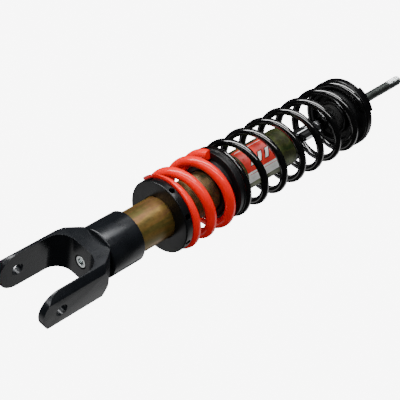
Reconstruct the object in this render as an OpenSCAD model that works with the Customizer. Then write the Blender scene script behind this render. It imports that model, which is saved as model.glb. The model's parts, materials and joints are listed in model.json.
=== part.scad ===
// Twin-spring adjustable coilover for a scooter: split fork below, threaded stud above.
// +Z runs along the damper from the fork to the stud; the origin is the fork's bolt centre.

/* [Fork] */
// Bolt hole diameter in the fork
bolt_hole_d = 9.4; // [8.2:0.1:10.4]
// Width over both ears
fork_w = 51; // [48:0.5:56]
// Thickness of each ear
ear_t = 5.5; // [4.5:0.5:7]
// Height of the fork across its flat sides
fork_h = 31; // [29:0.5:34]
// Bolt centre to the fork's top face
fork_top_z = 51; // [50:0.5:51]

/* [Damper] */
// Outer diameter of the damper tube
tube_d = 32.4; // [31.6:0.2:32.8]
// Wall of the damper tube
tube_wall = 1.8; // [1.4:0.1:2]
// Outer diameter of the base hub
hub_d = 39; // [37:0.5:42]
// Diameter of the piston rod
rod_d = 12; // [11.6:0.1:12.2]
// Pitch of the adjuster thread
adjuster_pitch = 1.5; // [1.5:0.1:2]

/* [Springs] */
// Wire diameter of the lower helper spring
helper_wire_d = 8; // [7.4:0.1:8.4]
// Outer diameter of the lower helper spring
helper_d = 61.3; // [60.5:0.1:63]
// Turns of the lower helper spring
helper_turns = 3.11; // [2.8:0.01:3.3]
// Wire diameter of the upper main spring
main_wire_d = 6; // [5.4:0.1:6.4]
// Outer diameter of the upper main spring
main_d = 59.2; // [58.6:0.1:61]
// Turns of the upper main spring
main_turns = 7.3; // [6.4:0.1:8]

/* [Adjuster] */
// Outer diameter of the preload collar
collar_d = 57; // [54:0.5:60]
// Thickness of the preload collar
collar_t = 6.8; // [6:0.1:6.8]
// Spanner holes around the preload collar
collar_holes = 8; // [4:1:10]

/* [Top] */
// Outer diameter of the top cap
cap_d = 58.8; // [57:0.2:60]
// Outer diameter of the spring seat inside the main spring
seat_d = 44; // [42:0.5:46]
// Height of the spring seat
seat_h = 10.5; // [8:0.5:30]
// Top of the stud above the bolt centre
stud_tip_z = 405; // [380:1:410]

/* [Hidden] */
play = 0.05;
fit_gap = 0.3;

ear_r = fork_h / 2;
slot_w = fork_w - 2 * ear_t;
slot_floor_z = 38;
slot_corner_r = 13;
fork_bevel_z = 10;
fork_bevel_x = 12;
ear_edge = 2.2;
screw_head_r = 5;
screw_head_h = 5.8;
screw_head_z = 38.3;
screw_thread_r = 3;
screw_end_z = 58.5;
hex_key_af = 5;

hub_r = hub_d / 2;
hub_top_z = 80.5;
hub_floor_z = 60;

tube_r = tube_d / 2;
tube_in_r = tube_r - tube_wall;
tube_top_z = 248;
thread_low_z = 112.6;
thread_turns = 34;
thread_depth = 0.45;

inner_in_r = 11;
inner_out_r = 12.3;
inner_low_z = 66;
inner_top_z = 232;

valve_r = inner_out_r + 1.2;
valve_low_z = hub_floor_z;
valve_top_z = 74;
valve_bore_r = 2.6;
valve_stem_r = 2.5;
valve_head_r = 4.2;
valve_head_h = 3;
port_ring_r = 7;
base_port_r = 1.3;

shim_t = 0.4;
shim_step_r = 1.1;
base_shim_r = 9;
base_shims_n = 4;
piston_shim_r = 9.3;
piston_shims_n = 5;

piston_low_z = 184;
piston_top_z = 194;
piston_gap = 0.6;
band_groove = 1.3;
band_land = 1.5;
piston_port_r = 1.2;
piston_nut_af = 12;
piston_nut_low_z = 177;
piston_nut_top_z = 182;
topout_low_z = 198;
topout_top_z = 206;
topout_wall = 3.5;

guide_low_z = 226;
guide_top_z = 238;
bush_wall = 1;
seal_top_z = 244;
end_cap_top_z = 256;
wiper_low_z = 251;
wiper_top_z = 257;

rod_r = rod_d / 2;
rod_low_z = 196;
rod_end_z = 176;
rod_end_r = 3.6;
rod_shoulder_z = 315;
neck_r = 4.5;
shank_r = 3.95;
shank_low_z = 331;
stud_r = 4;
stud_low_z = 388;
stud_pitch = 1.25;

collar_low_z = 112.2;
collar_top_z = collar_low_z + collar_t;
pin_hole_r = 2.3;
pin_hole_deep = 6;
pin_hole_first = 10;

flange_low_z = 169.5;
flange_top_z = 175.5;
flange_r = 28;
sleeve_r = 21.5;
sleeve_low_z = 159;
sleeve_top_z = 183;

seat_flange_t = 1.2;
seat_top_z = 322;
seat_r = seat_d / 2;
seat_bore_r = 12.6;
seat_recess_in_r = 14.5;
seat_recess_out_r = 19.5;
seat_recess = 3.5;
cap_top_z = 329;
cap_r = cap_d / 2;
washer_t = 2;
washer_lobe_r = 28.6;
washer_core_r = 20;
lobe_span = 44;
lobe_first = 103;

stop_low_z = 309;
nut_af = 13;

label_t = 0.1;
label_low_z = 192;
label_top_z = 230;
label_from = 62;
label_span = 112;

// ring from radius a to radius b, from height lo to height hi, with both outer edges bevelled by c
module ring(a, b, lo, hi, c = 0) {
    rotate_extrude($fn = 96)
        polygon([[a, lo], [b - c, lo], [b, lo + c], [b, hi - c], [b - c, hi], [a, hi]]);
}

// the fork block seen from the side: straight body with its rounded end about the bolt
module fork_side() {
    rotate([90, 0, 90])
        linear_extrude(height = fork_w, center = true)
            union() {
                circle(r = ear_r, $fn = 96);
                translate([-ear_r, 0]) square([fork_h, fork_top_z]);
            }
}

// the same block seen from the front: bevelled shoulders, slot with round corners
module fork_front() {
    w = fork_w / 2;
    rotate([90, 0, 0])
        linear_extrude(height = 2 * fork_h, center = true)
            difference() {
                polygon([[-w, -2 * ear_r], [w, -2 * ear_r], [w, fork_top_z - fork_bevel_z],
                         [w - fork_bevel_x, fork_top_z], [-w + fork_bevel_x, fork_top_z],
                         [-w, fork_top_z - fork_bevel_z]]);
                union() {
                    translate([-slot_w / 2, -3 * ear_r])
                        square([slot_w, 3 * ear_r + slot_floor_z - slot_corner_r]);
                    translate([-slot_w / 2 + slot_corner_r, 0])
                        square([slot_w - 2 * slot_corner_r, slot_floor_z]);
                    for (s = [-1, 1])
                        translate([s * (slot_w / 2 - slot_corner_r), slot_floor_z - slot_corner_r])
                            circle(r = slot_corner_r, $fn = 96);
                }
            }
}

module clevis() {
    color([0.05, 0.055, 0.06])
        difference() {
            intersection() {
                fork_side();
                fork_front();
                fork_envelope();
            }
            rotate([0, 90, 0]) cylinder(r = bolt_hole_d / 2, h = 2 * fork_w, center = true, $fn = 96);
            translate([0, 0, slot_floor_z - 1])
                cylinder(r = screw_head_r + 0.5, h = screw_head_z + screw_head_h - slot_floor_z + 1, $fn = 64);
            cylinder(r = screw_thread_r + 0.2, h = fork_top_z + 1, $fn = 48);
        }
}

// outline that takes the sharp long edges off the fork
module fork_envelope() {
    w = fork_w / 2;
    h = ear_r;
    e = ear_edge;
    translate([0, 0, -2 * ear_r])
        linear_extrude(height = 2 * ear_r + fork_top_z)
            polygon([[-w, -h + e], [-w + e, -h], [w - e, -h], [w, -h + e],
                     [w, h - e], [w - e, h], [-w + e, h], [-w, h - e]]);
}

module clevis_screw() {
    color([0.75, 0.76, 0.78])
        difference() {
            rotate_extrude($fn = 64)
                polygon([[0, screw_head_z], [screw_head_r - 0.6, screw_head_z],
                         [screw_head_r, screw_head_z + 0.6], [screw_head_r, screw_head_z + screw_head_h],
                         [screw_thread_r, screw_head_z + screw_head_h], [screw_thread_r, screw_end_z - 1],
                         [screw_thread_r - 0.8, screw_end_z], [0, screw_end_z]]);
            translate([0, 0, screw_head_z - 1])
                cylinder(r = hex_key_af / sqrt(3), h = 4, $fn = 6);
        }
}

module hub() {
    color([0.05, 0.055, 0.06])
        rotate_extrude($fn = 128)
            polygon([[screw_thread_r + play, fork_top_z], [hub_r - 1.3, fork_top_z],
                     [hub_r, fork_top_z + 1.3], [hub_r, hub_top_z - 0.6], [hub_r - 0.6, hub_top_z],
                     [tube_r + play, hub_top_z], [tube_r + play, hub_floor_z],
                     [screw_thread_r + play, hub_floor_z]]);
}

// points of the adjuster thread's rings up the tube
function thread_profile() =
    [for (i = [0:thread_turns - 1], k = [0:2])
        let (z = thread_low_z + adjuster_pitch * (i + [0, 0.5, 1][k] * 0.92))
        [tube_r - (k == 1 ? thread_depth : 0), z]];

module outer_tube() {
    color([0.62, 0.5, 0.2])
        rotate_extrude($fn = 128)
            polygon(concat([[tube_in_r, valve_low_z], [tube_r, valve_low_z]],
                           thread_profile(),
                           [[tube_r, tube_top_z - 0.8], [tube_r - 0.8, tube_top_z],
                            [tube_in_r, tube_top_z]]));
}

module inner_tube() {
    color([0.7, 0.71, 0.73]) ring(inner_in_r, inner_out_r, inner_low_z, inner_top_z);
}

module base_valve() {
    color([0.55, 0.53, 0.5])
        difference() {
            rotate_extrude($fn = 64)
                polygon([[valve_bore_r, valve_low_z + 2],
                         [valve_r, valve_low_z + 2], [valve_r, inner_low_z - 1],
                         [inner_out_r - 1.4, inner_low_z - 1], [inner_in_r - play, inner_low_z],
                         [inner_in_r - play, valve_top_z - 1], [inner_in_r - 1, valve_top_z],
                         [valve_bore_r, valve_top_z]]);
            ports(base_port_r, 0, valve_top_z + 1);
        }
}

module base_valve_bolt() {
    shims_top_z = valve_top_z + base_shims_n * shim_t;
    color([0.6, 0.6, 0.62])
        union() {
            cylinder_at(valve_stem_r, valve_low_z + 0.4, shims_top_z, 32);
            cylinder_at(valve_head_r, shims_top_z, shims_top_z + valve_head_h, 6);
        }
}

module cylinder_at(r, lo, hi, fn) {
    translate([0, 0, lo]) cylinder(r = r, h = hi - lo, $fn = fn);
}

// six oil ports on one circle
module ports(r, lo, hi) {
    for (k = [0:5])
        rotate([0, 0, 60 * k])
            translate([port_ring_r, 0, 0]) cylinder_at(r, lo, hi, 24);
}

// a stack of thin discs that get smaller towards hi
module shim_stack(bore_r, first_r, lo, count, up) {
    for (i = [0:count - 1])
        let (z = lo + up * i * shim_t)
            ring(bore_r, first_r - shim_step_r * i, min(z, z + up * shim_t), max(z, z + up * shim_t));
}

module base_shims() {
    color([0.8, 0.8, 0.8])
        union() shim_stack(valve_bore_r, base_shim_r, valve_top_z, base_shims_n, 1);
}

module rod_guide() {
    color([0.45, 0.44, 0.42])
        rotate_extrude($fn = 96)
            polygon([[rod_r + bush_wall + 2 * play, guide_low_z], [inner_in_r - play - 1, guide_low_z],
                     [inner_in_r - play, guide_low_z + 1], [inner_in_r - play, inner_top_z],
                     [tube_in_r - play, inner_top_z], [tube_in_r - play, guide_top_z],
                     [rod_r + bush_wall + 2 * play, guide_top_z]]);
}

module guide_bush() {
    color([0.6, 0.45, 0.25])
        ring(rod_r + play, rod_r + bush_wall + play, guide_low_z, guide_top_z - 1);
}

module oil_seal() {
    color([0.06, 0.06, 0.06])
        rotate_extrude($fn = 96)
            polygon([[rod_r + 2, guide_top_z], [tube_in_r - 2 * play, guide_top_z],
                     [tube_in_r - 2 * play, seal_top_z], [rod_r + 0.8, seal_top_z],
                     [rod_r + 0.08, seal_top_z - 1.5], [rod_r + 1.2, guide_top_z + 2.4]]);
}

module guide_o_ring() {
    color([0.05, 0.05, 0.05])
        rotate_extrude($fn = 64)
            translate([inner_out_r + 0.95, inner_top_z - 0.95]) circle(r = 0.9, $fn = 24);
}

module hub_o_ring() {
    color([0.05, 0.05, 0.05])
        rotate_extrude($fn = 64)
            translate([tube_in_r - 1.05, hub_floor_z + 1]) circle(r = 0.95, $fn = 24);
}

module end_cap() {
    dome_r = 4.5;
    shoulder_r = tube_r - 0.7;
    color([0.1, 0.1, 0.1])
        rotate_extrude($fn = 96)
            polygon(concat([[rod_r + fit_gap, seal_top_z], [tube_in_r - play, seal_top_z],
                            [tube_in_r - play, tube_top_z], [shoulder_r, tube_top_z],
                            [shoulder_r, end_cap_top_z - dome_r]],
                           [for (a = [15:15:90])
                                [shoulder_r - dome_r + dome_r * cos(a), end_cap_top_z - dome_r + dome_r * sin(a)]],
                           [[rod_r + 2.6, end_cap_top_z], [rod_r + 2.6, wiper_low_z],
                            [rod_r + fit_gap, wiper_low_z]]));
}

module rod_wiper() {
    color([0.06, 0.06, 0.06])
        rotate_extrude($fn = 64)
            polygon([[rod_r + 0.6, wiper_low_z], [rod_r + 2.55, wiper_low_z],
                     [rod_r + 2.55, end_cap_top_z], [rod_r + 1, wiper_top_z],
                     [rod_r + 0.08, wiper_top_z - 0.6]]);
}

module label() {
    color([0.75, 0.08, 0.06])
        rotate([0, 0, label_from])
            rotate_extrude(angle = label_span, $fn = 128)
                translate([tube_r, label_low_z]) square([label_t, label_top_z - label_low_z]);
}

module preload_collar() {
    color([0.08, 0.08, 0.085])
        difference() {
            ring(tube_r + fit_gap, collar_d / 2, collar_low_z, collar_top_z, 0.8);
            for (k = [0:collar_holes - 1])
                rotate([0, 0, pin_hole_first + 360 / collar_holes * k])
                    translate([collar_d / 2 - pin_hole_deep, 0, (collar_low_z + collar_top_z) / 2])
                        rotate([0, 90, 0]) cylinder(r = pin_hole_r, h = 2 * pin_hole_deep, $fn = 32);
        }
}

// height of a spring's wire centre after u turns: close wound at both ends, open between
function coil_z(u, turns, dead, z0, z1, d) =
    let (open = (z1 - z0 - 2 * dead * d * 1.02) / (turns - 2 * dead))
    u < dead ? z0 + u * d * 1.02
    : u > turns - dead ? z1 - (turns - u) * d * 1.02
    : z0 + dead * d * 1.02 + (u - dead) * open;

// a wire of diameter d wound from z0 to z1, trimmed flat at lo and hi
module coil(mean_r, d, turns, dead, z0, z1, lo, hi, start, sides, per_turn) {
    n = ceil(turns * per_turn);
    pts = [for (i = [0:n], k = [0:sides - 1])
        let (u = turns * i / n, a = start + 360 * u, b = 360 * (k + 0.5) / sides,
             zc = coil_z(u, turns, dead, z0, z1, d), r = mean_r + d / 2 * cos(b))
        [r * cos(a), r * sin(a), min(hi, max(lo, zc + d / 2 * sin(b)))]];
    sweep = [for (i = [0:n - 1], k = [0:sides - 1], h = [0, 1])
        let (p = i * sides + k, q = i * sides + (k + 1) % sides)
        h == 0 ? [p, q, q + sides] : [p, q + sides, p + sides]];
    ends = concat([for (k = [1:sides - 2]) [0, k + 1, k]],
                  [for (k = [1:sides - 2]) [n * sides, n * sides + k, n * sides + k + 1]]);
    polyhedron(points = pts, faces = concat(sweep, ends));
}

module helper_spring() {
    color([0.85, 0.06, 0.04])
        coil(mean_r = (helper_d - helper_wire_d) / 2, d = helper_wire_d, turns = helper_turns, dead = 0.78,
             z0 = collar_top_z + 1.2, z1 = flange_low_z - helper_wire_d / 2,
             lo = collar_top_z, hi = flange_low_z, start = 30, sides = 12, per_turn = 24);
}

module main_spring() {
    color([0.03, 0.03, 0.035])
        coil(mean_r = (main_d - main_wire_d) / 2, d = main_wire_d, turns = main_turns, dead = 0.55,
             z0 = flange_top_z + 1, z1 = seat_top_z - seat_flange_t - 1,
             lo = flange_top_z, hi = seat_top_z - seat_flange_t, start = 30, sides = 12, per_turn = 24);
}

module spring_coupler() {
    bore_r = tube_r + label_t + fit_gap;
    color([0.1, 0.1, 0.1])
        rotate_extrude($fn = 96)
            polygon([[bore_r, sleeve_low_z], [sleeve_r - 1.5, sleeve_low_z], [sleeve_r, sleeve_low_z + 3],
                     [sleeve_r, flange_low_z], [flange_r - 0.5, flange_low_z],
                     [flange_r, flange_low_z + 0.5], [flange_r, flange_low_z + 1.6],
                     [flange_r - 0.6, flange_low_z + 2], [flange_r - 0.6, flange_top_z - 1.2],
                     [flange_r, flange_top_z - 0.8], [flange_r, flange_top_z],
                     [sleeve_r, flange_top_z], [sleeve_r, sleeve_top_z - 2],
                     [sleeve_r - 1.5, sleeve_top_z], [bore_r, sleeve_top_z]]);
}

module spring_seat() {
    low = seat_top_z - seat_h;
    flange_z = seat_top_z - seat_flange_t;
    color([0.05, 0.05, 0.05])
        rotate_extrude($fn = 96)
            polygon([[seat_bore_r, low], [seat_recess_in_r, low], [seat_recess_in_r, low + seat_recess],
                     [seat_recess_out_r, low + seat_recess], [seat_recess_out_r, low],
                     [seat_r - 0.6, low], [seat_r, low + 0.6], [seat_r, flange_z],
                     [cap_r - 0.8, flange_z], [cap_r - 0.8, seat_top_z], [seat_bore_r, seat_top_z]]);
}

module top_cap() {
    color([0.04, 0.04, 0.045])
        rotate_extrude($fn = 128)
            polygon([[neck_r + play, seat_top_z], [cap_r - 0.6, seat_top_z], [cap_r, seat_top_z + 0.6],
                     [cap_r, cap_top_z - 2], [cap_r - 0.6, cap_top_z - 0.6], [cap_r - 2, cap_top_z],
                     [neck_r + play, cap_top_z]]);
}

module top_washer() {
    color([0.07, 0.07, 0.07])
        difference() {
            union() {
                cylinder_at(washer_core_r, cap_top_z, cap_top_z + washer_t, 96);
                for (k = [0:2])
                    rotate([0, 0, lobe_first + 120 * k])
                        translate([0, 0, cap_top_z])
                            rotate_extrude(angle = lobe_span, $fn = 128)
                                translate([washer_core_r - 1, 0])
                                    square([washer_lobe_r - washer_core_r + 1, washer_t]);
            }
            cylinder_at(neck_r + 0.2, cap_top_z - 1, cap_top_z + 2 * washer_t, 48);
        }
}

module jam_nut() {
    color([0.6, 0.6, 0.62])
        difference() {
            cylinder_at(nut_af / sqrt(3), rod_shoulder_z, seat_top_z, 6);
            cylinder_at(neck_r + play, rod_shoulder_z - 1, seat_top_z + 1, 48);
        }
}

module bump_stop() {
    color([0.05, 0.05, 0.05])
        ring(rod_r + play, rod_r + 6, stop_low_z, rod_shoulder_z, 1.2);
}

// ridge and groove heights of the stud's thread
function stud_profile() =
    [for (i = [0:floor((stud_tip_z - stud_low_z - 2) / stud_pitch) - 1], k = [0, 1])
        [stud_r - (k == 0 ? 0.6 : 0), stud_low_z + 0.8 + stud_pitch * (i + 0.5 * k)]];

module piston_rod() {
    color([0.85, 0.86, 0.88])
        rotate_extrude($fn = 96)
            polygon(concat([[0, rod_end_z], [rod_end_r - 0.6, rod_end_z], [rod_end_r, rod_end_z + 0.6],
                            [rod_end_r, rod_low_z], [rod_r, rod_low_z], [rod_r, rod_shoulder_z],
                            [neck_r, rod_shoulder_z], [neck_r, shank_low_z],
                            [shank_r, shank_low_z + 0.2], [shank_r, stud_low_z]],
                           stud_profile(),
                           [[stud_r - 0.2, stud_tip_z - 0.8], [stud_r - 1, stud_tip_z], [0, stud_tip_z]]));
}

module piston() {
    land_r = inner_in_r - piston_gap;
    groove_r = inner_in_r - band_groove;
    color([0.5, 0.49, 0.46])
        difference() {
            rotate_extrude($fn = 64)
                polygon([[rod_end_r + play, piston_low_z], [land_r, piston_low_z],
                         [land_r, piston_low_z + band_land], [groove_r, piston_low_z + band_land],
                         [groove_r, piston_top_z - band_land], [land_r, piston_top_z - band_land],
                         [land_r, piston_top_z], [rod_end_r + play, piston_top_z]]);
            ports(piston_port_r, piston_low_z - 1, piston_top_z + 1);
        }
}

module piston_band() {
    color([0.25, 0.18, 0.12])
        ring(inner_in_r - band_groove + play, inner_in_r - 2 * play,
             piston_low_z + band_land + 0.1, piston_top_z - band_land - 0.1);
}

module compression_shims() {
    color([0.8, 0.8, 0.8])
        union() shim_stack(rod_end_r + play, piston_shim_r, piston_top_z, piston_shims_n, 1);
}

module rebound_shims() {
    color([0.8, 0.8, 0.8])
        union() shim_stack(rod_end_r + play, piston_shim_r, piston_low_z, piston_shims_n, -1);
}

module piston_nut() {
    color([0.6, 0.6, 0.62])
        difference() {
            cylinder_at(piston_nut_af / sqrt(3), piston_nut_low_z, piston_nut_top_z, 6);
            cylinder_at(rod_end_r + play, piston_nut_low_z - 1, piston_nut_top_z + 1, 48);
        }
}

module topout_stop() {
    color([0.1, 0.1, 0.1]) ring(rod_r + play, rod_r + topout_wall, topout_low_z, topout_top_z, 0.8);
}

clevis();
clevis_screw();
hub();
outer_tube();
inner_tube();
base_valve();
base_valve_bolt();
base_shims();
rod_guide();
guide_bush();
oil_seal();
end_cap();
rod_wiper();
guide_o_ring();
hub_o_ring();
label();
preload_collar();
helper_spring();
spring_coupler();
main_spring();
spring_seat();
top_cap();
top_washer();
jam_nut();
bump_stop();
piston_rod();
piston();
piston_band();
compression_shims();
rebound_shims();
piston_nut();
topout_stop();
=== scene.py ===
"""Looks for the twin-spring coilover: detailed pieces, procedural materials, light and camera.

Sizes of the pieces are in millimetres and become metres when a mesh is made. Lights and camera are
in metres. +Z runs along the damper from the fork to the stud, and the fork's bolt runs along X.
"""

import json
import math
from collections import namedtuple

import bmesh
import bpy
from mathutils import Matrix, Vector
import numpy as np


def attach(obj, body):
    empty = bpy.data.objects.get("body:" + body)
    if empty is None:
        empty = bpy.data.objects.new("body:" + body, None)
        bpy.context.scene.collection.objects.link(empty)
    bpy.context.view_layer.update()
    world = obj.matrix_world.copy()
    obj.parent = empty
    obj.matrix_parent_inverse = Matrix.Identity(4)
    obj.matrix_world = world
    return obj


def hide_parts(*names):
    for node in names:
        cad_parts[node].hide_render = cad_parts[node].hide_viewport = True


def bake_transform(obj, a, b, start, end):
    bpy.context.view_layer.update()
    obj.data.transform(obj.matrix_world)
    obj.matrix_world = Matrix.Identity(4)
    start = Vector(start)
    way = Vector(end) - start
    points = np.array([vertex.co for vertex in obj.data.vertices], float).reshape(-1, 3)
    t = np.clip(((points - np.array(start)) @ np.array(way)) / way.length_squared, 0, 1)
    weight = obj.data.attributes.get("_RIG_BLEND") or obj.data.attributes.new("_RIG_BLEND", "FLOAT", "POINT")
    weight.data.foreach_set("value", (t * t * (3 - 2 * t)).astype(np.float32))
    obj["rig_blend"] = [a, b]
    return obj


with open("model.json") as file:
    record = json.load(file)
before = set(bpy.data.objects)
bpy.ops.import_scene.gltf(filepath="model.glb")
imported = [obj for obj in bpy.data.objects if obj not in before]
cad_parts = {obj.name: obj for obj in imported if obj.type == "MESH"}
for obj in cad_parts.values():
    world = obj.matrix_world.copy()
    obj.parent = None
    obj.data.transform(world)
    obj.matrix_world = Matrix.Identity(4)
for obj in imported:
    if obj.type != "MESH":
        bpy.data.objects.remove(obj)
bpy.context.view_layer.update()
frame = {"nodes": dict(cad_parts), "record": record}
MM = 0.001
TAU = 2 * math.pi

# ---------------------------------------------------------------- sizes of the pieces

RUNNING, SEATED = 0.3, 0.05  # gaps around a moving part and around a fixed one

FORK_W, FORK_H, FORK_TOP = 51.0, 31.0, 51.0
EAR_T, BOLT_R, EAR_CHAMFER = 5.5, 4.7, 4.5
SLOT_FLOOR, SLOT_R = 38.0, 13.0
SHOULDER_X, SHOULDER_Z = 12.0, 10.0

SCREW_R, SCREW_HEAD_R, SCREW_KEY = 3.0, 5.0, 5.0
SCREW_LOW, SCREW_SEAT, SCREW_END = 38.3, 44.1, 58.5

HUB_R, HUB_TOP = 19.5, 80.5
TUBE_R, TUBE_IN, TUBE_LOW, TUBE_TOP = 16.2, 14.4, 60.0, 248.0
THREAD_LOW, THREAD_TURNS, THREAD_PITCH, THREAD_DEPTH = 112.6, 34, 1.5, 0.45
END_CAP_R, END_CAP_TOP = 15.5, 256.0
WIPER_R, WIPER_LOW = 8.6, 251.0

LABEL_LOW, LABEL_TOP, LABEL_T = 192.0, 230.0, 0.1
LABEL_FROM, LABEL_FIELD, LABEL_STRIP = 62, 81, 31  # degrees about the tube
BARS_AT, BAR_SLANT, BAR_W = (198, 206, 214), 5.0, 3.4
BAR_FROM, BAR_SPAN = 104, 24  # degrees about the tube

COLLAR_R, COLLAR_LOW, COLLAR_TOP = 28.5, 112.2, 119.0
SPANNER_HOLES, SPANNER_R, SPANNER_DEPTH, SPANNER_FROM = 8, 2.3, 6.0, 10

SLEEVE_IN, SLEEVE_R, SLEEVE_LOW, SLEEVE_TOP = 16.6, 21.5, 159.0, 183.0
FLANGE_R, FLANGE_LOW, FLANGE_TOP = 28.0, 169.5, 175.5
GROOVE_DEPTH, GROOVE_LOW, GROOVE_TOP = 0.7, 171.6, 174.2

SEAT_R, SEAT_BORE, SEAT_LOW, SEAT_TOP = 22.0, 12.6, 311.5, 322.0
SEAT_FLANGE_R, SEAT_FLANGE_LOW = 28.6, 320.8
RECESS_IN, RECESS_OUT, RECESS_DEPTH = 14.5, 19.5, 3.5
CAP_R, CAP_TOP = 29.4, 329.0
WASHER_TOP, WASHER_R, WASHER_DISC_R, LOBES = 331.0, 28.6, 20.0, 3
LOBE_FROM, LOBE_SPAN = 103, 44  # degrees about the stud

ROD_R, ROD_LOW, ROD_STEP, ROD_TOP = 6.0, 176.0, 196.0, 315.0
NECK_R, SHANK_R, SHANK_TOP = 4.0, 3.95, 387.4
STUD_R, STUD_LOW, STUD_TURNS, STUD_PITCH, STUD_DEPTH, STUD_TOP = 4.0, 388.2, 12, 1.25, 0.6, 405.0
BRIGHT_FROM = 387.8  # height where the dark shank turns to bright zinc
STOP_R, STOP_LOW = 12.0, 309.0

# mean radius, wire diameter, turns, closed turns at each end, heights of the wire's two ends, and
# heights of the two faces that it sits between
Spring = namedtuple("Spring", "mean wire turns dead low high floor ceiling")
HELPER = Spring(26.65, 8, 3.11, 0.78, COLLAR_TOP + 1.2, FLANGE_LOW - 4, COLLAR_TOP, FLANGE_LOW)
MAIN = Spring(26.6, 6, 7.3, 0.55, FLANGE_TOP + 1, SEAT_FLANGE_LOW - 1, FLANGE_TOP, SEAT_FLANGE_LOW)
SPRING_FROM = 30  # degrees about the tube
CLOSED_PITCH = 1.02  # rise of a closed turn, in wire diameters
TIP_SINK, TIP_TURN = 0.36, 0.5  # how far a ground tip sinks, in wire diameters, and over what part turn


# ---------------------------------------------------------------- node materials


class Shader:
    """A principled material with short calls for the nodes that feed it."""

    def __init__(self, name, color, metallic=0.0, roughness=0.5, **sockets):
        self.mat = bpy.data.materials.new(name)
        self.mat.use_nodes = True
        self.nodes = self.mat.node_tree.nodes
        self.links = self.mat.node_tree.links
        self.bsdf = self.nodes["Principled BSDF"]
        self.set(self.bsdf, "Base Color", (*color, 1))
        self.set(self.bsdf, "Metallic", metallic)
        self.set(self.bsdf, "Roughness", roughness)
        for key, value in sockets.items():
            self.set(self.bsdf, key.replace("_", " ").title().replace("Ior", "IOR"), value)
        self.coords = self.nodes.new("ShaderNodeTexCoord").outputs["Object"]

    def set(self, node, socket, value):
        """Links a socket to another node's output, or gives it a plain value."""
        if isinstance(value, bpy.types.NodeSocket):
            self.links.new(value, node.inputs[socket])
        else:
            node.inputs[socket].default_value = value

    def add(self, kind, out=0, props=None, **sockets):
        """Adds a node; Like_This names the socket Like This, and _2 is the third socket."""
        node = self.nodes.new("ShaderNode" + kind)
        for key, value in (props or {}).items():
            setattr(node, key, value)
        for key, value in sockets.items():
            self.set(node, int(key[1:]) if key[1:].isdigit() else key.replace("_", " "), value)
        return node.outputs[out]

    def stretch(self, sx, sy, sz):
        return self.add("Mapping", Vector=self.coords, Scale=(sx, sy, sz))

    def noise(self, scale, detail=4.0, roughness=0.6, at=None, distortion=0.0):
        return self.add("TexNoise", Vector=at or self.coords, Scale=scale, Detail=detail,
                        Roughness=roughness, Distortion=distortion)

    def ramp(self, factor, stops):
        node = self.nodes.new("ShaderNodeValToRGB")
        self.links.new(factor, node.inputs[0])
        ramp = node.color_ramp
        while len(ramp.elements) < len(stops):
            ramp.elements.new(0.5)
        for element, (place, color) in zip(ramp.elements, stops):
            element.position = place
            element.color = (*color, 1)
        return node.outputs[0]

    def range(self, value, low, high, to_low, to_high):
        return self.add("MapRange", Value=value, From_Min=low, From_Max=high, To_Min=to_low, To_Max=to_high)

    def math(self, kind, a, b):
        return self.add("Math", props={"operation": kind}, _0=a, _1=b)

    def blend(self, kind, factor, a, b):
        return self.add("Mix", out=2, props={"data_type": "RGBA", "blend_type": kind}, _0=factor, _6=a, _7=b)

    def bump(self, height, strength, distance):
        node = self.nodes.new("ShaderNodeBump")
        node.inputs["Strength"].default_value = strength
        node.inputs["Distance"].default_value = distance
        self.links.new(height, node.inputs["Height"])
        self.links.new(node.outputs[0], self.bsdf.inputs["Normal"])

    def color(self, source):
        self.links.new(source, self.bsdf.inputs["Base Color"])

    def rough(self, source):
        self.links.new(source, self.bsdf.inputs["Roughness"])


def shade(tint, share):
    """A colour made darker or lighter."""
    return [c * share for c in tint]


def anodised(name, tint, rough):
    """Bead-blasted black anodising: a fine even grain, faint clouds and a few handling marks."""
    s = Shader(name, tint, metallic=0.3, roughness=rough, specular_ior_level=0.5)
    clouds = s.noise(55, detail=5)
    s.color(s.ramp(clouds, [(0.3, shade(tint, 0.75)), (0.7, shade(tint, 1.3))]))
    marks = s.math("MULTIPLY", s.noise(300, detail=2, at=s.stretch(1, 1, 0.1)), 0.5)
    s.rough(s.range(s.math("ADD", clouds, marks), 0.5, 1.1, rough - 0.05, rough + 0.1))
    s.bump(s.noise(2600, detail=2), 0.025, 0.00005)
    return s.mat


# passivation colours laid in long bands along the tube: partly the coating's own tint, partly painted
# reflections
ZINC_TINTS_AND_REFLECTIONS = [(0.28, (0.15, 0.22, 0.055)), (0.40, (0.28, 0.24, 0.07)), (0.50, (0.46, 0.31, 0.09)),
              (0.58, (0.40, 0.23, 0.11)), (0.66, (0.25, 0.22, 0.07)), (0.78, (0.19, 0.27, 0.07))]


def passivated(name, tint, stained, grain=(75, 75, 9)):
    """Yellow zinc passivation over drawn steel: gold drifting to pink and green in long bands, partly its own
    tint and partly painted reflections.
    """
    s = Shader(name, (0.5, 0.4, 0.15), metallic=0.55, roughness=0.4)
    # long bands stretched along the tube: partly the coating's own tint, partly painted reflections
    bands = s.noise(1.0, detail=4, roughness=0.65, distortion=0.4, at=s.stretch(*grain))
    tone = s.ramp(bands, [(place, [c * t for c, t in zip(color, tint)]) for place, color in ZINC_TINTS_AND_REFLECTIONS])
    blotch = s.noise(170, detail=6, roughness=0.7)
    stains = s.ramp(blotch, [(0.32, (0.5, 0.45, 0.38)), (0.62, (1, 1, 1))])
    s.color(s.blend("MULTIPLY", stained, tone, stains))
    s.rough(s.range(blotch, 0.3, 0.7, 0.34, 0.46))
    drawn = s.noise(1.0, detail=3, at=s.stretch(2600, 2600, 60))
    s.bump(drawn, 0.1, 0.00005)
    return s.mat


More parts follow.
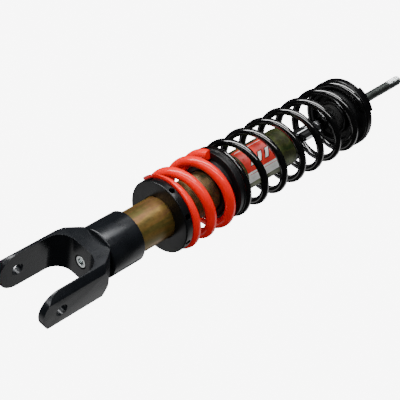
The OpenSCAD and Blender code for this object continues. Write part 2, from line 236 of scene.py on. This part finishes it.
def powder(name, color, deep, rough, coat, coat_ior=1.5):
    """Gloss powder coat on a wound wire: soft orange peel under a clear gloss, with faint dust."""
    s = Shader(name, color, roughness=rough, coat_weight=coat, coat_roughness=0.12,
               coat_ior=coat_ior, specular_ior_level=0.3)
    drift = s.noise(70, detail=3)
    tone = s.ramp(drift, [(0.3, deep), (0.7, color)])
    dust = s.ramp(s.noise(2600, detail=1), [(0.70, (0, 0, 0)), (0.76, [min(1, c + 0.1) for c in color])])
    s.color(s.blend("SCREEN", 0.35, tone, dust))
    s.rough(s.range(drift, 0.3, 0.7, rough - 0.03, rough + 0.06))
    s.bump(s.noise(600, detail=2, roughness=0.5), 0.03, 0.00005)
    return s.mat


def plated(name, tint, rough, ring=0.06):
    """Plated or ground steel: fine turning rings, faint stains and varied polish."""
    s = Shader(name, tint, metallic=1.0, roughness=rough)
    stain = s.noise(120, detail=5, roughness=0.65)
    s.color(s.ramp(stain, [(0.3, shade(tint, 0.82)), (0.7, tint)]))
    rings = s.noise(1.0, detail=3, at=s.stretch(25, 25, 4200))
    s.rough(s.range(s.math("ADD", stain, rings), 0.6, 1.4, max(0.03, rough * 0.7), rough * 1.4))
    s.bump(rings, ring, 0.00004)
    return s.mat


def moulded(name, tint, rough, grain=1900, strength=0.2):
    """Moulded plastic or rubber: spark-eroded grain with cloudy sheen."""
    s = Shader(name, tint, roughness=rough, specular_ior_level=0.45)
    cloud = s.noise(60, detail=4)
    s.color(s.ramp(cloud, [(0.3, shade(tint, 0.8)), (0.7, shade(tint, 1.35))]))
    s.rough(s.range(cloud, 0.3, 0.7, rough - 0.06, rough + 0.08))
    s.bump(s.noise(grain, detail=2), strength, 0.00010)
    return s.mat


def sintered(name, tint):
    """Pressed powder metal: open pores in a dull grey surface."""
    s = Shader(name, tint, metallic=0.9, roughness=0.5)
    pores = s.add("TexVoronoi", Vector=s.coords, Scale=1500.0)
    s.color(s.ramp(pores, [(0.05, shade(tint, 0.45)), (0.25, tint)]))
    s.rough(s.range(s.noise(200), 0.3, 0.7, 0.42, 0.6))
    s.bump(pores, 0.3, 0.00008)
    return s.mat


def printed(name, tint):
    """Printed film: a slightly uneven ink layer under a soft gloss."""
    s = Shader(name, tint, roughness=0.32, coat_weight=0.35, coat_roughness=0.2)
    ink = s.noise(420, detail=4)
    s.color(s.ramp(ink, [(0.3, shade(tint, 0.86)), (0.7, tint)]))
    s.rough(s.range(ink, 0.3, 0.7, 0.26, 0.4))
    s.bump(s.noise(230, detail=2), 0.08, 0.00008)
    return s.mat


MATS = {
    "anodised_black": anodised("anodised_black", (0.007, 0.0085, 0.011), 0.26),
    "collar_black": anodised("collar_black", (0.005, 0.0055, 0.0065), 0.3),
    "zinc_gold": passivated("zinc_gold", (0.5, 0.44, 0.34), 0.6),
    "zinc_thread": passivated("zinc_thread", (0.42, 0.42, 0.5), 1.0, (190, 190, 150)),
    # zinc_upper: a darker, greener copy of the passivation, painted shade on the tube inside the main spring
    "zinc_upper": passivated("zinc_upper", (0.22, 0.4, 0.42), 0.9, (150, 150, 60)),
    "bright_zinc": plated("bright_zinc", (0.72, 0.76, 0.76), 0.24, ring=0.04),
    # shank_phosphate paints the shank above the cap dark grey, darker than the bright zinc of the thread
    # above it
    "shank_phosphate": plated("shank_phosphate", (0.16, 0.18, 0.17), 0.42, ring=0.08),
    "steel_plain": plated("steel_plain", (0.56, 0.56, 0.55), 0.3, ring=0.08),
    "chrome_rod": plated("chrome_rod", (0.86, 0.88, 0.9), 0.07, ring=0.015),
    "bush_bronze": plated("bush_bronze", (0.62, 0.42, 0.2), 0.35),
    "sintered_iron": sintered("sintered_iron", (0.36, 0.35, 0.33)),
    "spring_red": powder("spring_red", (0.95, 0.004, 0.001), (0.86, 0.003, 0.001), 0.3, 0.4),
    "spring_black": powder("spring_black", (0.0012, 0.0012, 0.0015), (0.0008, 0.0008, 0.001),
                           0.2, 1.0, 1.75),
    "polymer_black": moulded("polymer_black", (0.003, 0.003, 0.0035), 0.42),
    "cap_black": moulded("cap_black", (0.0016, 0.0016, 0.002), 0.26, grain=2600, strength=0.05),
    "rubber_black": moulded("rubber_black", (0.012, 0.012, 0.012), 0.66),
    "stop_foam": moulded("stop_foam", (0.012, 0.012, 0.012), 0.8, grain=1200, strength=0.5),
    "band_ptfe": moulded("band_ptfe", (0.16, 0.11, 0.07), 0.45),
    "label_print": printed("label_print", (0.62, 0.03, 0.02)),
    "label_white": printed("label_white", (0.78, 0.78, 0.76)),
}


# ---------------------------------------------------------------- mesh helpers


def clean(bm):
    """Joins doubled corners and turns every face outwards."""
    bmesh.ops.remove_doubles(bm, verts=bm.verts, dist=1e-5)
    bmesh.ops.recalc_face_normals(bm, faces=bm.faces)
    return bm


def finish_mesh(name, bm, mats, body, stands_for=(), sharp_deg=32):
    """Turns a bmesh in millimetres into a smooth-shaded piece that rides on its body."""
    mats = [mats] if isinstance(mats, str) else mats
    clean(bm)
    for face in bm.faces:
        face.smooth = True
    limit = math.radians(sharp_deg)
    for edge in bm.edges:
        edge.smooth = len(edge.link_faces) == 2 and edge.calc_face_angle(0) < limit
    bmesh.ops.scale(bm, vec=(MM, MM, MM), verts=bm.verts)
    mesh = bpy.data.meshes.new(name)
    bm.to_mesh(mesh)
    bm.free()
    obj = bpy.data.objects.new(name, mesh)
    bpy.context.collection.objects.link(obj)
    for mat in mats:
        mesh.materials.append(MATS[mat])
    if body:
        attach(obj, body)
    if stands_for:
        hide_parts(*stands_for)
    return obj


def paint_above(obj, *levels):
    """Gives each face the first material, or a later one for each level that it lies above."""
    for poly in obj.data.polygons:
        poly.material_index = sum(poly.center.z / MM > level for level in levels)


def rounded(profile, steps=5):
    """Rounds each (radius, height, fillet) corner of a closed profile."""
    out = []
    n = len(profile)
    for i, (r, z, *fillet) in enumerate(profile):
        f = fillet[0] if fillet else 0
        here = Vector((r, z))
        before, after = Vector(profile[i - 1][:2]) - here, Vector(profile[(i + 1) % n][:2]) - here
        turn = before.angle(after, 0)
        if f <= 0 or turn < 0.05 or abs(turn - math.pi) < 0.02:
            out.append(here)
            continue
        cut = min(f / math.tan(turn / 2), before.length * 0.49, after.length * 0.49)
        radius = cut * math.tan(turn / 2)
        inward = (before.normalized() + after.normalized()).normalized()
        middle = here + inward * (radius / math.sin(turn / 2))
        a = here + before.normalized() * cut - middle
        b = here + after.normalized() * cut - middle
        sweep = a.angle_signed(b)
        for k in range(steps + 1):
            angle = -sweep * k / steps
            out.append(middle + Vector((a.x * math.cos(angle) - a.y * math.sin(angle),
                                        a.x * math.sin(angle) + a.y * math.cos(angle))))
    return [(p.x, p.y) for p in out]


def spin(profile, segments=144, start=0.0, span=TAU):
    """Revolves a closed profile about Z; a part turn gets flat ends."""
    bm = bmesh.new()
    full = abs(span - TAU) < 1e-6
    count = segments if full else segments + 1
    rings = []
    for i in range(count):
        a = start + span * i / segments
        rings.append([bm.verts.new((r * math.cos(a), r * math.sin(a), z)) for r, z in profile])
    m = len(profile)
    for i in range(segments):
        one, two = rings[i], rings[(i + 1) % count]
        for k in range(m):
            j = (k + 1) % m
            from_axis, to_axis = profile[k][0] < 1e-6, profile[j][0] < 1e-6
            if from_axis and to_axis:
                continue
            corners = [one[k], two[k], two[j], one[j]]
            if from_axis:
                corners = [one[k], two[j], one[j]]
            elif to_axis:
                corners = [one[k], two[k], one[j]]
            bm.faces.new(corners)
    if not full:
        bm.faces.new(rings[0])
        bm.faces.new(list(reversed(rings[-1])))
    return bm


def turned(name, profile, mat, body, stands_for, segments=144):
    """A lathe-turned piece with rounded corners."""
    finish_mesh(name, spin(rounded(profile), segments), mat, body, [stands_for])


def circle(cx, cy, r, n=96, start=0.0, span=TAU):
    """Points on a circle, or on an arc with both of its ends."""
    last = n if abs(span - TAU) < 1e-6 else n + 1
    angles = [start + span * i / n for i in range(last)]
    return [(cx + r * math.cos(a), cy + r * math.sin(a)) for a in angles]


def prism(points, low, high, along):
    """A closed prism of 2-D points, pushed from low to high along axis X, Y or Z."""
    bm = bmesh.new()
    a, b, c = {"X": (1, 2, 0), "Y": (0, 2, 1), "Z": (0, 1, 2)}[along]
    ends = []
    for level in (low, high):
        ring = []
        for p, q in points:
            v = [0, 0, 0]
            v[a], v[b], v[c] = p, q, level
            ring.append(bm.verts.new(v))
        ends.append(ring)
    bridge(bm, *ends)
    bm.faces.new(ends[0])
    bm.faces.new(ends[1])
    bmesh.ops.recalc_face_normals(bm, faces=bm.faces)
    return bm


def ring_of(bm, r, z, segments):
    """A level ring of vertices about Z."""
    return [bm.verts.new((x, y, z)) for x, y in circle(0, 0, r, segments)]


def bridge(bm, one, two):
    """Joins two closed rings with a band of faces."""
    n = len(one)
    for k in range(n):
        j = (k + 1) % n
        bm.faces.new((one[k], one[j], two[j], two[k]))


def loft(bm, rings):
    """Joins a row of closed rings, each to the next."""
    for one, two in zip(rings, rings[1:]):
        bridge(bm, one, two)


def loose(bm):
    """A throwaway object for the boolean steps."""
    mesh = bpy.data.meshes.new("tool")
    bm.to_mesh(mesh)
    bm.free()
    obj = bpy.data.objects.new("tool", mesh)
    bpy.context.collection.objects.link(obj)
    return obj


def carve(base, steps, bevel, segments=2):
    """Runs booleans and an edge bevel on a base, and returns the result as a bmesh in millimetres."""
    obj = loose(base)
    tools = []
    for operation, bm in steps:
        tool = loose(bm)
        tools.append(tool)
        cut = obj.modifiers.new("cut", "BOOLEAN")
        cut.operation, cut.object, cut.solver = operation, tool, "EXACT"
    edge = obj.modifiers.new("edge", "BEVEL")
    edge.width, edge.segments, edge.limit_method = bevel, segments, "ANGLE"
    edge.angle_limit = math.radians(28)
    edge.use_clamp_overlap = True
    edge.miter_outer = "MITER_ARC"
    bpy.context.view_layer.update()
    made = bpy.data.meshes.new_from_object(obj.evaluated_get(bpy.context.evaluated_depsgraph_get()))
    out = bmesh.new()
    out.from_mesh(made)
    bpy.data.meshes.remove(made)
    for used in [obj, *tools]:
        mesh = used.data
        bpy.data.objects.remove(used)
        bpy.data.meshes.remove(mesh)
    return out


def screw_thread(bm, low, turns, pitch, crest, depth, segments, steps, taper=1.5):
    """Adds the outer wall of a right-hand thread that starts at low, and returns its end rings."""
    flank, flat = 0.38, 1.15  # half width of the groove in pitches, and how far its floor is cut off
    rows = []
    total = turns * steps
    for i in range(total + 1):
        fade = min(1, i / steps / taper, (total - i) / steps / taper)
        row = []
        for k in range(segments):
            phase = (i / steps - k / segments) % 1.0
            groove = max(0.0, 1 - abs(phase - 0.5) / flank)
            r = crest - depth * fade * min(1.0, groove * flat)
            a = TAU * k / segments
            row.append(bm.verts.new((r * math.cos(a), r * math.sin(a), low + pitch * i / steps)))
        rows.append(row)
    loft(bm, rows)
    return rows[0], rows[-1]


# ---------------------------------------------------------------- fork, screw and hub


def fork():
    """Clevis: round-ended ears with wide chamfers, a slot, bevelled shoulders and a turned crown."""
    w, h, e = FORK_W / 2, FORK_H / 2, EAR_CHAMFER
    gap, knee, past, above = w - EAR_T, FORK_TOP - SHOULDER_Z, -20, FORK_TOP + 1
    corner = SLOT_FLOOR - SLOT_R
    slot = circle(gap - SLOT_R, corner, SLOT_R, 24, 0, TAU / 4)
    slot += circle(SLOT_R - gap, corner, SLOT_R, 24, TAU / 4, TAU / 4)
    front = [(-w, past), (-gap, past), *reversed(slot), (gap, past), (w, past), (w, knee),
             (w - SHOULDER_X, FORK_TOP), (SHOULDER_X - w, FORK_TOP), (-w, knee)]
    side = circle(0, 0, h, 48, TAU / 2, TAU / 2) + [(h, FORK_TOP + 2), (-h, FORK_TOP + 2)]
    plan = [(-w, e - h), (e - w, -h), (w - e, -h), (w, e - h),
            (w, h - e), (w - e, h), (e - w, h), (-w, h - e)]
    cone = [(0, past - 1), (w + (knee - past + 1) / 2, past - 1), (w + (knee - above) / 2, above), (0, above)]
    bm = carve(prism(front, -h - 2, h + 2, "Y"), [
        ("INTERSECT", prism(side, -w - 3, w + 3, "X")),
        ("INTERSECT", prism(plan, past, above, "Z")),
        ("INTERSECT", clean(spin(cone, 96))),
        ("DIFFERENCE", prism(circle(0, 0, BOLT_R, 64), -w - 5, w + 5, "X")),
        ("DIFFERENCE", prism(circle(0, 0, SCREW_HEAD_R + 0.5, 64), SLOT_FLOOR - 5, SCREW_SEAT, "Z")),
        ("DIFFERENCE", prism(circle(0, 0, SCREW_R + 0.2, 48), SLOT_FLOOR + 2, FORK_TOP + 5, "Z")),
    ], bevel=0.45, segments=3)
    finish_mesh("fork", bm, "anodised_black", "damper_body", ["clevis"], sharp_deg=12)


def socket_screw():
    """Screw up through the fork into the hub, with a hexagon socket in its head."""
    head = [(0, SCREW_LOW), (SCREW_HEAD_R - 0.6, SCREW_LOW, 0.2), (SCREW_HEAD_R, SCREW_LOW + 0.6, 0.2),
            (SCREW_HEAD_R, SCREW_SEAT), (SCREW_R, SCREW_SEAT), (SCREW_R, SCREW_END - 1),
            (SCREW_R - 0.8, SCREW_END), (0, SCREW_END)]
    hexagon = circle(0, 0, SCREW_KEY / math.sqrt(3), 6)
    socket = prism(hexagon, SCREW_LOW - 8.3, SCREW_LOW + 3, "Z")
    bm = carve(clean(spin(rounded(head), 96)), [("DIFFERENCE", socket)], bevel=0.12)
    finish_mesh("fork_screw", bm, "bright_zinc", "damper_body", ["clevis_screw"], sharp_deg=12)


fork()
socket_screw()
turned("base_hub", [(SCREW_R + SEATED, FORK_TOP), (HUB_R, FORK_TOP, 1.6), (HUB_R, HUB_TOP, 0.7),
                    (TUBE_R + SEATED, HUB_TOP, 0.25), (TUBE_R + SEATED, TUBE_LOW),
                    (SCREW_R + SEATED, TUBE_LOW)],
       "anodised_black", "damper_body", "hub")


# ---------------------------------------------------------------- damper tube, its end and its label


def damper_tube():
    """Tube with the adjuster's thread; the finish changes over the thread, and above it a darker, greener
    copy paints the shade inside the main spring.
    """
    bm = bmesh.new()
    n = 128
    first, last = screw_thread(bm, THREAD_LOW, THREAD_TURNS, THREAD_PITCH, TUBE_R, THREAD_DEPTH, n, 6)
    below = [ring_of(bm, r, z, n) for r, z in
             ((TUBE_IN, TUBE_LOW), (TUBE_R, TUBE_LOW), (TUBE_R, TUBE_LOW + 24), (TUBE_R, TUBE_LOW + 48))]
    above = [ring_of(bm, r, z, n) for r, z in
             ((TUBE_R, TUBE_TOP - 78), (TUBE_R, TUBE_TOP - 38), (TUBE_R, TUBE_TOP - 1.4),
              (TUBE_R - 0.2, TUBE_TOP - 0.7), (TUBE_R - 0.6, TUBE_TOP - 0.2), (TUBE_R - 1, TUBE_TOP),
              (TUBE_IN, TUBE_TOP))]
    loft(bm, below + [first])
    loft(bm, [last] + above + [below[0]])
    obj = finish_mesh("damper_tube", bm, ["zinc_gold", "zinc_thread", "zinc_upper"], "damper_body",
                      ["outer_tube"], sharp_deg=50)
    # above the thread the tube takes the darker copy, the painted shade inside the main spring
    paint_above(obj, THREAD_LOW + 0.1, THREAD_LOW + THREAD_TURNS * THREAD_PITCH - 0.1)


damper_tube()
turned("tube_end_cap", [(ROD_R + RUNNING, TUBE_TOP - 4), (TUBE_IN - SEATED, TUBE_TOP - 4),
                        (TUBE_IN - SEATED, TUBE_TOP), (END_CAP_R, TUBE_TOP, 0.3),
                        (END_CAP_R, END_CAP_TOP, 4.5), (WIPER_R, END_CAP_TOP, 0.3),
                        (WIPER_R, WIPER_LOW), (ROD_R + RUNNING, WIPER_LOW)],
       "cap_black", "damper_body", "end_cap")
turned("wiper", [(ROD_R + 0.6, WIPER_LOW), (WIPER_R - SEATED, WIPER_LOW),
                 (WIPER_R - SEATED, END_CAP_TOP, 0.3), (ROD_R + 1, END_CAP_TOP + 1, 0.3),
                 (ROD_R + 0.08, END_CAP_TOP + 0.4)],
       "rubber_black", "damper_body", "rod_wiper", 96)


def wrapped(name, low, high, from_deg, span_deg, mat, inner, outer, stands_for=()):
    """A patch of film about the tube, between two radii."""
    bm = spin([(inner, low), (outer, low), (outer, high), (inner, high)], max(8, int(span_deg)),
              math.radians(from_deg), math.radians(span_deg))
    finish_mesh(name, bm, mat, "damper_body", stands_for)


def slanted_bar(first):
    """A slanted white bar with a dark edge on the label's field."""
    steps = 24
    for grow, mat, lift in ((0.9, "cap_black", 0.02), (0, "label_white", 0.05)):
        bm = bmesh.new()
        outer = TUBE_R + LABEL_T + lift
        rows = []
        for i in range(steps + 1):
            share = i / steps
            a = math.radians(BAR_FROM - grow * 2 + (BAR_SPAN + grow * 4) * share)
            low = first + BAR_SLANT * (1 - share) - grow
            high = low + BAR_W + 2 * grow
            rows.append([bm.verts.new((r * math.cos(a), r * math.sin(a), z))
                         for r, z in ((TUBE_R, low), (outer, low), (outer, high), (TUBE_R, high))])
        loft(bm, rows)
        bm.faces.new(rows[0])
        bm.faces.new(rows[-1])
        finish_mesh(f"label_bar_{first}_{mat}", bm, mat, "damper_body")


film, raised = (TUBE_R, TUBE_R + LABEL_T), (TUBE_R + LABEL_T - 0.02, TUBE_R + LABEL_T + 0.02)
strip_from = LABEL_FROM + LABEL_FIELD
wrapped("label_field", LABEL_LOW, LABEL_TOP, LABEL_FROM, LABEL_FIELD, "label_print", *film, ["label"])
wrapped("label_strip", LABEL_LOW, LABEL_TOP, strip_from, LABEL_STRIP, "label_white", *film)
wrapped("label_line", LABEL_LOW + 2, LABEL_TOP - 2, LABEL_FROM + 8, 2, "label_white", *raised)
for first in BARS_AT:
    slanted_bar(first)
wrapped("label_rule", LABEL_LOW + 2, LABEL_TOP - 2, strip_from + 6, 1.5, "label_print", *raised)


# ---------------------------------------------------------------- preload collar and coupler


def preload_collar():
    """Adjuster ring with spanner holes drilled in from its rim."""
    inner = TUBE_R + RUNNING
    base = spin(rounded([(inner, COLLAR_LOW, 0.5), (COLLAR_R, COLLAR_LOW, 1.0),
                         (COLLAR_R, COLLAR_TOP, 0.7), (inner, COLLAR_TOP, 0.4)]), 160)
    raise_hole = Matrix.Translation((0, 0, (COLLAR_LOW + COLLAR_TOP) / 2))
    holes = []
    for k in range(SPANNER_HOLES):
        drill = prism(circle(0, 0, SPANNER_R, 40), COLLAR_R - SPANNER_DEPTH, COLLAR_R + 4, "X")
        turn = Matrix.Rotation(math.radians(SPANNER_FROM) + TAU * k / SPANNER_HOLES, 4, "Z")
        bmesh.ops.transform(drill, verts=drill.verts, matrix=turn @ raise_hole)
        holes.append(("DIFFERENCE", drill))
    bm = carve(clean(base), holes, bevel=0.18)
    finish_mesh("adjuster_collar", bm, "collar_black", "collar", ["preload_collar"], sharp_deg=12)


preload_collar()
turned("coupler", [(SLEEVE_IN, SLEEVE_LOW, 0.3), (SLEEVE_R - 1.3, SLEEVE_LOW, 0.8),
                   (SLEEVE_R, SLEEVE_LOW + 2.5, 1.2), (SLEEVE_R, FLANGE_LOW, 0.4),
                   (FLANGE_R, FLANGE_LOW, 0.4), (FLANGE_R, GROOVE_LOW - 0.5, 0.3),
                   (FLANGE_R - GROOVE_DEPTH, GROOVE_LOW, 0.2), (FLANGE_R - GROOVE_DEPTH, GROOVE_TOP, 0.2),
                   (FLANGE_R, GROOVE_TOP + 0.5, 0.3), (FLANGE_R, FLANGE_TOP, 0.3),
                   (SLEEVE_R, FLANGE_TOP, 0.4), (SLEEVE_R, SLEEVE_TOP - 2, 1),
                   (SLEEVE_R - 1.5, SLEEVE_TOP, 0.6), (SLEEVE_IN, SLEEVE_TOP, 0.3)],
       "polymer_black", "main_stage", "spring_coupler")


# ---------------------------------------------------------------- springs


def coil_height(s, u):
    """Height of the wire's centre after u turns: closed at both ends, open between."""
    u = min(s.turns, max(0, u))
    closed = s.wire * CLOSED_PITCH
    if u < s.dead:
        return s.low + u * closed
    if u > s.turns - s.dead:
        return s.high - (s.turns - u) * closed
    rise = (s.high - s.low - 2 * s.dead * closed) / (s.turns - 2 * s.dead)
    return s.low + s.dead * closed + (u - s.dead) * rise


def wire_ring(bm, s, u, sides):
    """Vertices round the wire after u turns, cut flat where the wire would pass its seat."""
    blur = 0.09
    near = [coil_height(s, u + blur * k / 4) for k in range(-4, 5)]
    sink, lift = [s.wire * TIP_SINK * max(0, 1 - far / TIP_TURN) ** 1.5 for far in (u, s.turns - u)]
    middle = sum(near) / len(near) - sink + lift
    a = math.radians(SPRING_FROM) + TAU * u
    ring = []
    for k in range(sides):
        b = TAU * k / sides
        across, height = s.wire / 2 * math.cos(b), s.wire / 2 * math.sin(b)
        level = min(s.ceiling - middle, max(s.floor - middle, height))
        if level != height and level * height < 0:
            half = math.sqrt(max(0, s.wire ** 2 / 4 - level * level))
            across = min(half, max(-half, across))
        r = s.mean + across
        ring.append(bm.verts.new((r * math.cos(a), r * math.sin(a), middle + level)))
    return ring


def close_tip(bm, ring, way):
    """Ends the wire with a small bevel and a flat face."""
    centre = sum((v.co for v in ring), Vector()) / len(ring)
    along = Vector((-centre.y, centre.x, 0)).normalized() * way
    lip = [bm.verts.new(centre + (v.co - centre) * 0.9 + along * 0.35) for v in ring]
    bridge(bm, ring, lip)
    bm.faces.new(lip)


def turns_at(s, co):
    """How many turns along the wire a vertex lies."""
    a = math.atan2(co.y, co.x) - math.radians(SPRING_FROM)
    guesses = [(a / TAU) % 1.0 + k for k in range(-1, int(s.turns) + 2)]

    def miss(u):
        return abs(coil_height(s, u) - co.z / MM) + (0 if -0.01 <= u <= s.turns + 0.01 else 50)

    return min(guesses, key=miss)


def wound(name, s, mat, bodies, node):
    """A spring whose wire keeps its round section while its open turns close up."""
    sides, per_turn = 28, 72
    bm = bmesh.new()
    steps = int(round(s.turns * per_turn))
    rings = [wire_ring(bm, s, s.turns * i / steps, sides) for i in range(steps + 1)]
    loft(bm, rings)
    close_tip(bm, rings[0], -1)
    close_tip(bm, rings[-1], 1)
    obj = finish_mesh(name, bm, mat, None, [node], sharp_deg=38)
    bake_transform(obj, *bodies, start=(0, 0, s.low * MM), end=(0, 0, s.high * MM))
    weights = obj.data.attributes["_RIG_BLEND"].data
    for v in obj.data.vertices:
        share = (turns_at(s, v.co) - s.dead) / (s.turns - 2 * s.dead)
        weights[v.index].value = min(1, max(0, share))


wound("helper_coil", HELPER, "spring_red", ("helper_stage", "main_stage"), "helper_spring")
wound("main_coil", MAIN, "spring_black", ("main_stage", "top_seat"), "main_spring")


# ---------------------------------------------------------------- top seat, cap, washer, rod and stop


def lobe_outline():
    """Corners of the washer: lobes on a smaller disc."""
    steps = 12
    gap = 360 / LOBES - LOBE_SPAN
    points = []
    for k in range(LOBES):
        first = math.radians(LOBE_FROM + 360 / LOBES * k)
        points += [(WASHER_R, first + math.radians(LOBE_SPAN) * i / steps) for i in range(steps + 1)]
        points += [(WASHER_DISC_R, first + math.radians(LOBE_SPAN + gap * i / steps))
                   for i in range(steps + 1)]
    return [(r * math.cos(a), r * math.sin(a)) for r, a in points]


def lobed_washer():
    """Flat washer on the cap, with a hole for the rod's neck."""
    hole = prism(circle(0, 0, NECK_R + 0.2, 64), CAP_TOP - 9, WASHER_TOP + 9, "Z")
    bm = carve(prism(lobe_outline(), CAP_TOP, WASHER_TOP, "Z"), [("DIFFERENCE", hole)], bevel=0.3)
    finish_mesh("washer", bm, "cap_black", "rod_assembly", ["top_washer"], sharp_deg=12)


def piston_rod():
    """Chromed rod below the cap, dark shank above it, and a bright threaded end."""
    bm = bmesh.new()
    n, centre = 96, 0.001  # the ends close on a ring too small to see
    shaft = [(centre, ROD_LOW), (NECK_R - 0.4, ROD_LOW), (NECK_R, ROD_LOW + 0.5), (NECK_R, ROD_STEP),
             (ROD_R, ROD_STEP), (ROD_R, 240), (ROD_R, 275), (ROD_R, ROD_TOP - 0.4), (ROD_R - 0.2, ROD_TOP),
             (NECK_R, ROD_TOP), (NECK_R, WASHER_TOP), (SHANK_R, WASHER_TOP + 0.1), (SHANK_R, 360),
             (SHANK_R, SHANK_TOP)]
    tip = [(STUD_R - 0.2, STUD_TOP - 0.9), (STUD_R - 0.7, STUD_TOP - 0.2), (STUD_R - 1, STUD_TOP),
           (centre, STUD_TOP)]
    shaft_rings = [ring_of(bm, r, z, n) for r, z in shaft]
    first, last = screw_thread(bm, STUD_LOW, STUD_TURNS, STUD_PITCH, STUD_R, STUD_DEPTH, n, 8, taper=0.6)
    loft(bm, shaft_rings + [first])
    loft(bm, [last] + [ring_of(bm, r, z, n) for r, z in tip])
    obj = finish_mesh("rod", bm, ["chrome_rod", "shank_phosphate", "bright_zinc"], "rod_assembly",
                      ["piston_rod"], sharp_deg=50)
    paint_above(obj, CAP_TOP, BRIGHT_FROM)


turned("seat", [(SEAT_BORE, SEAT_LOW, 0.3), (RECESS_IN, SEAT_LOW, 0.3), (RECESS_IN, SEAT_LOW + RECESS_DEPTH),
                (RECESS_OUT, SEAT_LOW + RECESS_DEPTH), (RECESS_OUT, SEAT_LOW, 0.3), (SEAT_R, SEAT_LOW, 0.7),
                (SEAT_R, SEAT_FLANGE_LOW, 0.5), (SEAT_FLANGE_R, SEAT_FLANGE_LOW, 0.3),
                (SEAT_FLANGE_R, SEAT_TOP), (SEAT_BORE, SEAT_TOP)],
       "polymer_black", "top_seat", "spring_seat")
turned("cap", [(NECK_R + SEATED, SEAT_TOP), (CAP_R - 0.5, SEAT_TOP, 0.4), (CAP_R, SEAT_TOP + 0.6, 0.4),
               (CAP_R, CAP_TOP - 2.4, 0.5), (CAP_R - 0.5, CAP_TOP - 2, 0.3),
               (CAP_R - 0.5, CAP_TOP - 0.6, 0.5), (CAP_R - 1.8, CAP_TOP, 0.4), (NECK_R + SEATED, CAP_TOP)],
       "cap_black", "rod_assembly", "top_cap")
lobed_washer()
piston_rod()
turned("stop", [(ROD_R + SEATED, STOP_LOW, 0.4), (STOP_R - 1.4, STOP_LOW, 1.2), (STOP_R, STOP_LOW + 1.6, 0.8),
                (STOP_R, ROD_TOP - 1.4, 0.9), (STOP_R - 1.2, ROD_TOP, 0.6), (ROD_R + SEATED, ROD_TOP)],
       "stop_foam", "rod_assembly", "bump_stop", 96)

for node, obj in frame["nodes"].items():
    slot = next(s["material_slot"] for s in frame["record"]["subparts"] if s["node"] == node)
    obj.data.materials.clear()
    obj.data.materials.append(MATS[slot])


# ---------------------------------------------------------------- floor, light and camera

RIGHT = Vector((-0.7047, 0.1555, 0.6923))
UP = Vector((0.5549, 0.7291, 0.4010))
BACK = Vector((-0.4424, 0.6667, -0.5999))
EYE = Vector((-0.3717, 0.5526, -0.3472))
CENTRE = Vector((0, 0, 0.17))
FLOOR_Z, FLOOR_SIZE = -0.6, 12
LIGHTS = {  # place to the right, up and back of the middle, length and width, watts
    "strip_high": ((-0.3, 1.05, 0.48), (2.4, 0.30), 35),
    "strip_front": ((-0.1, 0.55, 1.1), (2.4, 0.20), 14),
    "top": ((0.4, 1.2, -0.1), (0.5, 0.22), 1.0),
    "side_right": ((1.0, 0.58, 0.34), (0.7, 0.6), 0.06),
    "table_right": ((0.78, -0.6, -0.76), (1.1, 0.7), 2.4),
    "table_left": ((-1.05, -0.6, -0.35), (0.7, 0.6), 1.0),
}


def floor():
    """Pale floor that only the camera sees, so it adds nothing to the light on the damper."""
    s = Shader("pale_floor", (0.86, 0.86, 0.86), roughness=0.7, emission_strength=3.0,
               emission_color=(1, 1, 1, 1))
    s.color(s.ramp(s.noise(3, detail=3), [(0.3, (0.84, 0.84, 0.84)), (0.7, (0.88, 0.88, 0.88))]))
    bm = bmesh.new()
    bmesh.ops.create_grid(bm, x_segments=2, y_segments=2, size=FLOOR_SIZE)
    mesh = bpy.data.meshes.new("floor")
    bm.to_mesh(mesh)
    bm.free()
    mesh.materials.append(s.mat)
    obj = bpy.data.objects.new("floor", mesh)
    obj.location = (0, 0, FLOOR_Z)
    bpy.context.collection.objects.link(obj)
    obj.visible_glossy = obj.visible_diffuse = False


def softbox(name, place, size, power):
    """A rectangular light that faces the object's middle, with its long side level in the picture."""
    light = bpy.data.lights.new(name, "AREA")
    light.shape = "RECTANGLE"
    light.size, light.size_y = size
    light.energy = power
    obj = bpy.data.objects.new(name, light)
    offset = RIGHT * place[0] + UP * place[1] + BACK * place[2]
    z = offset.normalized()
    x = (RIGHT - RIGHT.dot(z) * z).normalized()
    obj.matrix_world = Matrix.Translation(CENTRE + offset) @ Matrix((x, z.cross(x), z)).transposed().to_4x4()
    bpy.context.collection.objects.link(obj)


def sky():
    """White surround for the eye, soft light for matt surfaces, near black in reflections."""
    world = bpy.data.worlds.new("studio")
    world.use_nodes = True
    bpy.context.scene.world = world
    nodes, links = world.node_tree.nodes, world.node_tree.links
    path = nodes.new("ShaderNodeLightPath")
    seen = nodes["Background"]
    for ray, strength in (("Is Glossy Ray", 0.03), ("Is Diffuse Ray", 0.5), ("Is Camera Ray", 10.0)):
        light = nodes.new("ShaderNodeBackground")
        light.inputs["Strength"].default_value = strength
        mix = nodes.new("ShaderNodeMixShader")
        links.new(path.outputs[ray], mix.inputs[0])
        links.new(seen.outputs[0], mix.inputs[1])
        links.new(light.outputs[0], mix.inputs[2])
        seen = mix
    links.new(seen.outputs[0], nodes["World Output"].inputs[0])


def place_camera():
    """Camera at the photo's viewing angle."""
    camera = bpy.data.cameras.new("camera")
    camera.lens = 101.3
    camera.sensor_width = 36
    camera.clip_start, camera.clip_end = 0.01, 50
    obj = bpy.data.objects.new("camera", camera)
    obj.matrix_world = Matrix.Translation(EYE) @ Matrix((RIGHT, UP, BACK)).transposed().to_4x4()
    bpy.context.collection.objects.link(obj)
    bpy.context.scene.camera = obj


floor()
sky()
for name, (place, size, power) in LIGHTS.items():
    softbox(name, place, size, power)
place_camera()
